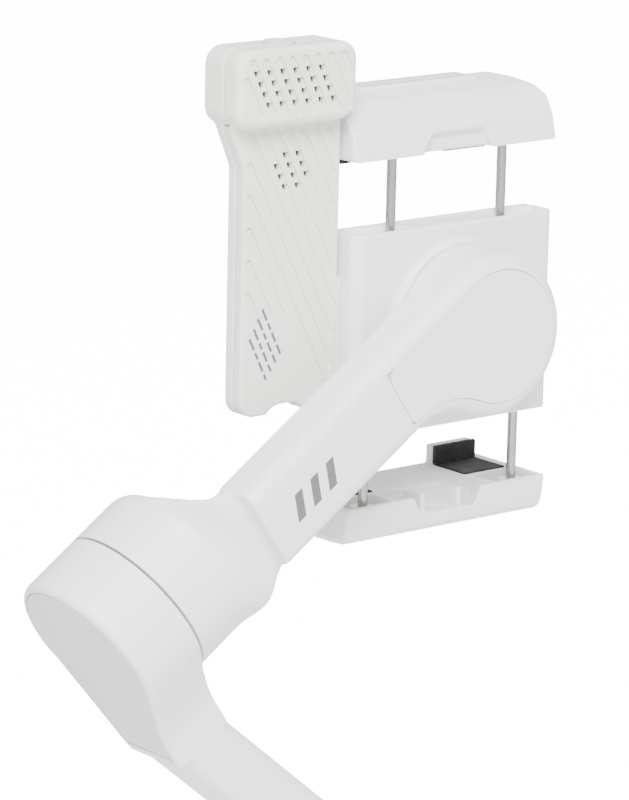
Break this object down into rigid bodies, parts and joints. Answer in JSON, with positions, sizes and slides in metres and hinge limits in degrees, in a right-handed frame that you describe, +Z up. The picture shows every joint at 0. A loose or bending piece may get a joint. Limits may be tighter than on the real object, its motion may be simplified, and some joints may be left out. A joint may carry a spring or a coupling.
{
  "type": "phone gimbal stabilizer",
  "caption": "Handheld three-axis phone gimbal with a spring clamp on steel rods, a clip-on tracking and light module, a folding neck and a telescopic pole in its handle.",
  "frame": {"origin": "mouth of the tripod thread in the middle of the handle's bottom face", "axes": "+Z up the handle and the pan axis, +X along the long side of a held phone, -Y towards the back of the phone, where the roll motor and the arms are"},
  "size_m": [0.1198, 0.043, 0.3421],
  "materials": {
    "white_shell": "satin moulded",
    "module_shell": "satin moulded, ribbed",
    "grey_cover": "satin moulded",
    "dark_rubber": "soft matte",
    "steel": "drawn and polished",
    "aluminium_tube": "satin anodised",
    "brass": "machined",
    "circuit_board": "solder mask",
    "cell_wrap": "shrink wrap",
    "winding": "enamelled wire",
    "magnet": "nickel plated",
    "diffuser": "frosted",
    "dark_window": "polished",
    "lens": "coated glass",
    "grey_button": "satin",
    "label": "satin"
  },
  "bodies": {
    "handle": {"handle_front_shell": "white_shell", "handle_back_shell": "white_shell", "handle_base": "white_shell", "tripod_insert": "brass", "pole_guide": "aluminium_tube", "pole_collar": "white_shell", "battery_cell": "cell_wrap", "control_board": "circuit_board", "control_panel": "grey_cover", "usb_socket": "steel", "trigger_pin": "steel"},
    "shutter": {"shutter_button": "grey_button"},
    "mode": {"mode_button": "grey_button"},
    "power": {"power_button": "grey_button"},
    "stick_base": {"joystick_cradle": "steel"},
    "stick": {"joystick": "dark_rubber"},
    "trigger_body": {"trigger": "grey_button"},
    "pole_lower": {"pole_stage_1": "aluminium_tube"},
    "pole_middle": {"pole_stage_2": "aluminium_tube"},
    "pole_upper": {"pole_stage_3": "aluminium_tube", "neck_yoke": "white_shell", "neck_pin": "steel"},
    "neck": {"neck_knuckle": "white_shell", "pan_motor_housing": "white_shell", "pan_stator": "winding", "pan_bearings": "steel"},
    "pan_arm": {"pan_rotor": "steel", "pan_magnets": "magnet", "pan_arm_shell": "white_shell", "tilt_end_cover": "grey_cover", "tilt_stator": "winding", "tilt_bearings": "steel"},
    "tilt_arm": {"tilt_rotor": "steel", "tilt_magnets": "magnet", "tilt_arm_shell": "white_shell", "hub_cover": "white_shell", "roll_stator": "winding", "roll_bearings": "steel"},
    "clamp": {"roll_rotor": "steel", "roll_magnets": "magnet", "clamp_block_front": "white_shell", "clamp_block_back": "white_shell", "seat_pad": "dark_rubber", "upper_jaw_springs": "steel", "lower_jaw_springs": "steel"},
    "upper_jaw": {"upper_jaw_shell": "white_shell", "upper_jaw_rods": "steel", "upper_jaw_pads": "dark_rubber", "jaw_label_plate": "label"},
    "lower_jaw": {"lower_jaw_shell": "white_shell", "lower_jaw_rods": "steel", "lower_jaw_pads": "dark_rubber"},
    "tracking_module": {"module_front_shell": "module_shell", "module_back_shell": "module_shell", "module_light_diffuser": "diffuser", "module_sensor_window": "dark_window", "module_lens": "lens", "module_board": "circuit_board", "module_magnets": "magnet"},
    "module_power": {"module_power_button": "module_shell"}
  },
  "joints": [
    {"name": "shutter_press", "type": "slide", "parent": "handle", "child": "shutter", "axis": [0, -1, 0], "range_m": [0, 0.0006], "stiffness_N_per_m": 300},
    {"name": "mode_press", "type": "slide", "parent": "handle", "child": "mode", "axis": [0, -1, 0], "range_m": [0, 0.0006], "stiffness_N_per_m": 300},
    {"name": "power_press", "type": "slide", "parent": "handle", "child": "power", "axis": [0, -1, 0], "range_m": [0, 0.0005], "stiffness_N_per_m": 300},
    {"name": "stick_sideways", "type": "hinge", "parent": "handle", "child": "stick_base", "pos_m": [0, 0.0119, 0.09], "axis": [0, 0, 1], "range_deg": [-14, 14], "stiffness_Nm_per_rad": 0.02},
    {"name": "stick_up_down", "type": "hinge", "parent": "stick_base", "child": "stick", "pos_m": [0, 0.0119, 0.09], "axis": [1, 0, 0], "range_deg": [-14, 14], "stiffness_Nm_per_rad": 0.02},
    {"name": "trigger_pull", "type": "hinge", "parent": "handle", "child": "trigger_body", "pos_m": [0, -0.0144, 0.092], "axis": [1, 0, 0], "range_deg": [0, 5], "stiffness_Nm_per_rad": 0.05},
    {"name": "pole_lower_slide", "type": "slide", "parent": "handle", "child": "pole_lower", "axis": [0, 0, 1], "range_m": [0, 0.06]},
    {"name": "pole_middle_slide", "type": "slide", "parent": "pole_lower", "child": "pole_middle", "axis": [0, 0, 1], "range_m": [0, 0.06]},
    {"name": "pole_upper_slide", "type": "slide", "parent": "pole_middle", "child": "pole_upper", "axis": [0, 0, 1], "range_m": [0, 0.06]},
    {"name": "neck_fold", "type": "hinge", "parent": "pole_upper", "child": "neck", "pos_m": [0, 0, 0.126], "axis": [1, 0, 0], "range_deg": [0, 90]},
    {"name": "pan_turn", "type": "hinge", "parent": "neck", "child": "pan_arm", "pos_m": [0, 0, 0.152], "axis": [0, 0, 1], "range_deg": [-160, 170]},
    {"name": "tilt_turn", "type": "hinge", "parent": "pan_arm", "child": "tilt_arm", "pos_m": [-0.0717, 0.0015, 0.23272], "axis": [-0.8241, 0, -0.5664], "range_deg": [-110, 110]},
    {"name": "roll_turn", "type": "hinge", "parent": "tilt_arm", "child": "clamp", "pos_m": [0, -0.0109, 0.282], "axis": [0, 1, 0], "range_deg": [-45, 150]},
    {"name": "upper_jaw_slide", "type": "slide", "parent": "clamp", "child": "upper_jaw", "axis": [0, 0, 1], "range_m": [-0.011, 0.009], "deforming": ["upper_jaw_springs"]},
    {"name": "lower_jaw_slide", "type": "slide", "parent": "clamp", "child": "lower_jaw", "axis": [0, 0, -1], "range_m": [-0.011, 0.009], "deforming": ["lower_jaw_springs"]},
    {"name": "module_detach", "type": "slide", "parent": "clamp", "child": "tracking_module", "axis": [-1, 0, 0], "range_m": [0, 0.03]},
    {"name": "module_power_press", "type": "slide", "parent": "tracking_module", "child": "module_power", "axis": [0, 0, -1], "range_m": [0, 0.0005], "stiffness_N_per_m": 300}
  ]
}
